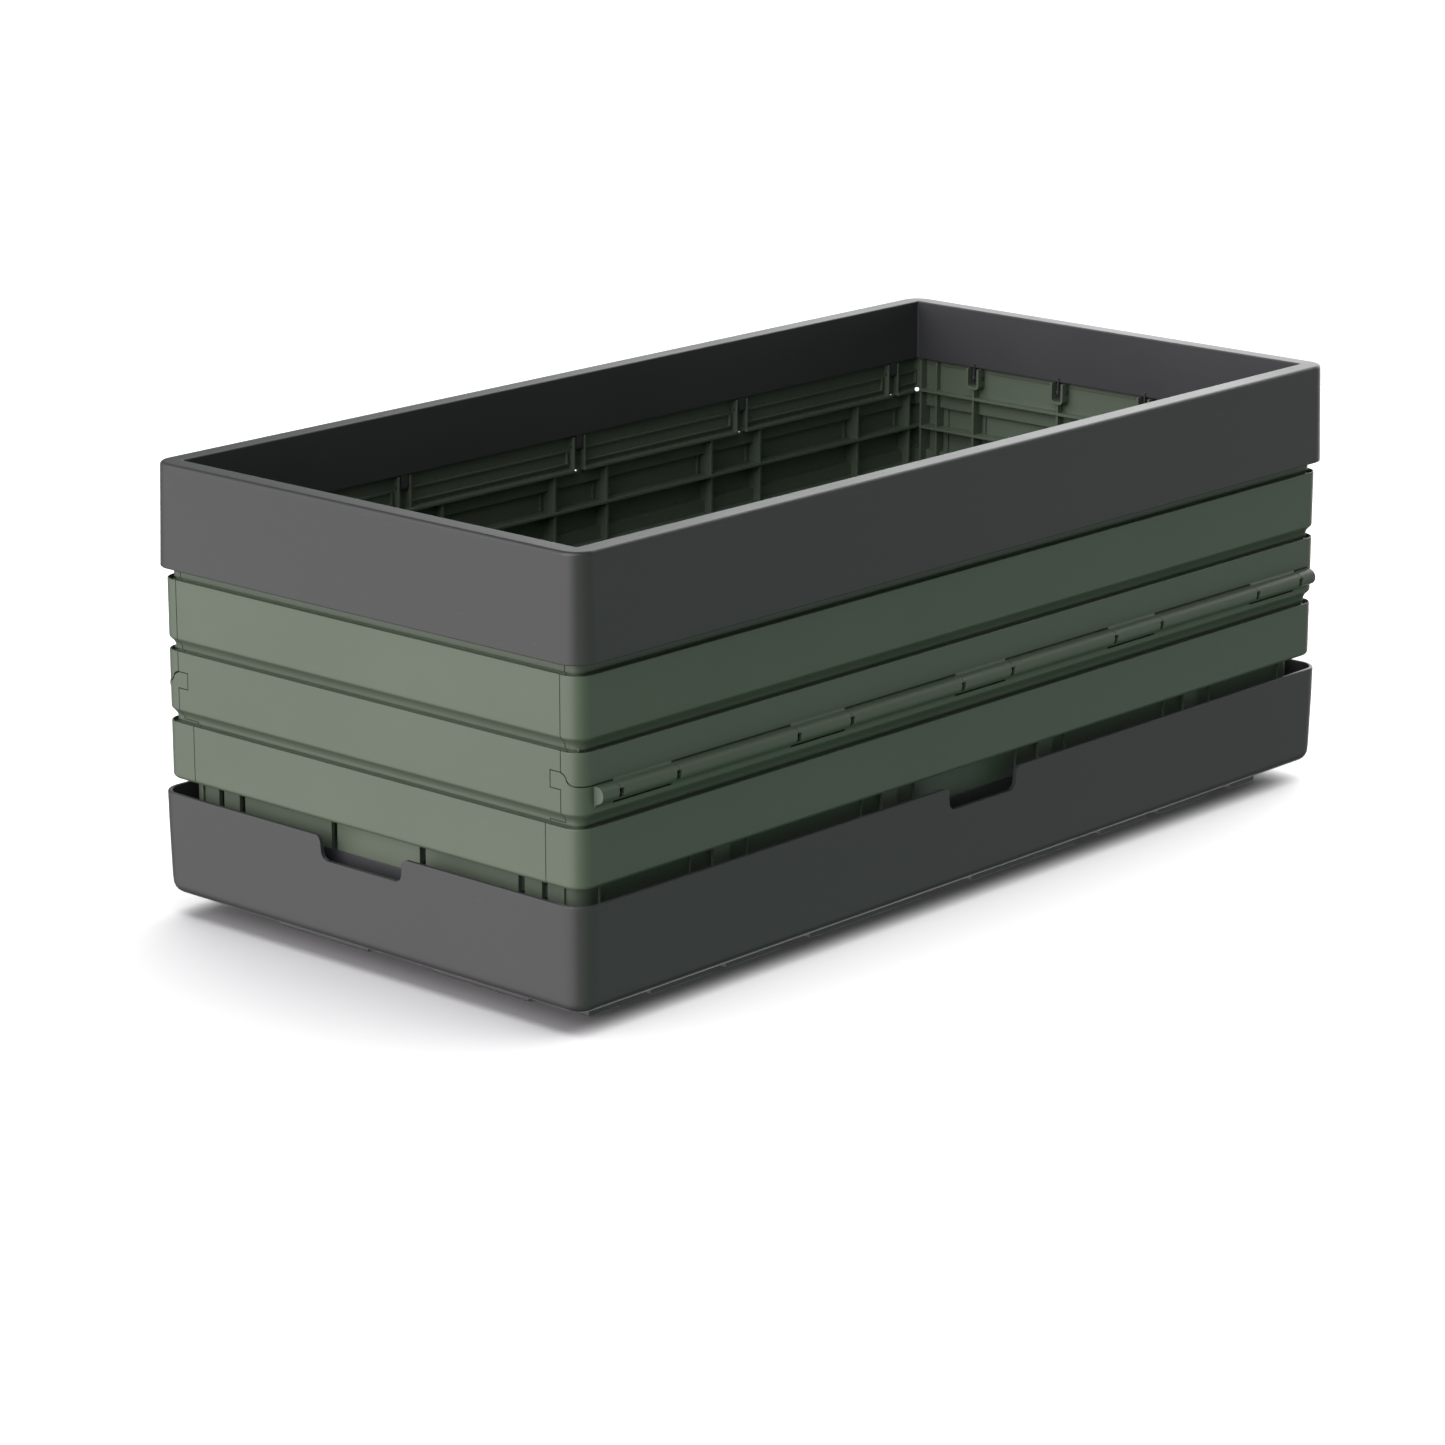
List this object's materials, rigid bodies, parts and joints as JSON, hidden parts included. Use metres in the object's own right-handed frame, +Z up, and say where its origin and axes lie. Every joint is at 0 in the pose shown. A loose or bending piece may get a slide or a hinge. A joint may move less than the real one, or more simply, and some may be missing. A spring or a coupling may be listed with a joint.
{
  "type": "collapsible storage crate",
  "caption": "Rectangular collapsible storage crate with a banded fold-in body, dark collar frame and dark base tray; its end panels swing up inside.",
  "frame": {"origin": "centre of the footprint on the plane of the stacking feet", "axes": "+X along the long side, +Y across towards the back long side, +Z up out of the open top"},
  "size_m": [0.799, 0.4064, 0.3168],
  "materials": {
    "graphite_plastic": "fine moulded grain, satin",
    "sage_plastic": "fine moulded grain, satin",
    "pin_steel": "drawn, blackened"
  },
  "bodies": {
    "crate_shell": {"base_tray": "graphite_plastic", "crate_base": "sage_plastic", "front_lower_side": "sage_plastic", "front_upper_side": "sage_plastic", "back_lower_side": "sage_plastic", "back_upper_side": "sage_plastic", "top_frame": "graphite_plastic", "front_fold_rod": "pin_steel", "back_fold_rod": "pin_steel", "front_base_rod": "pin_steel", "back_base_rod": "pin_steel", "front_frame_pin_1": "pin_steel", "front_frame_pin_2": "pin_steel", "front_frame_pin_3": "pin_steel", "front_frame_pin_4": "pin_steel", "front_frame_pin_5": "pin_steel", "back_frame_pin_1": "pin_steel", "back_frame_pin_2": "pin_steel", "back_frame_pin_3": "pin_steel", "back_frame_pin_4": "pin_steel", "back_frame_pin_5": "pin_steel"},
    "left_end": {"left_end_panel": "sage_plastic", "left_end_pin_1": "pin_steel", "left_end_pin_2": "pin_steel", "left_end_pin_3": "pin_steel", "left_end_pin_4": "pin_steel"},
    "right_end": {"right_end_panel": "sage_plastic", "right_end_pin_1": "pin_steel", "right_end_pin_2": "pin_steel", "right_end_pin_3": "pin_steel", "right_end_pin_4": "pin_steel"}
  },
  "joints": [
    {"name": "left_end_swing", "type": "hinge", "parent": "crate_shell", "child": "left_end", "pos_m": [-0.3854, 0, 0.2632], "axis": [0, -1, 0], "range_deg": [0, 90]},
    {"name": "right_end_swing", "type": "hinge", "parent": "crate_shell", "child": "right_end", "pos_m": [0.3854, 0, 0.2632], "axis": [0, 1, 0], "range_deg": [0, 90]}
  ]
}
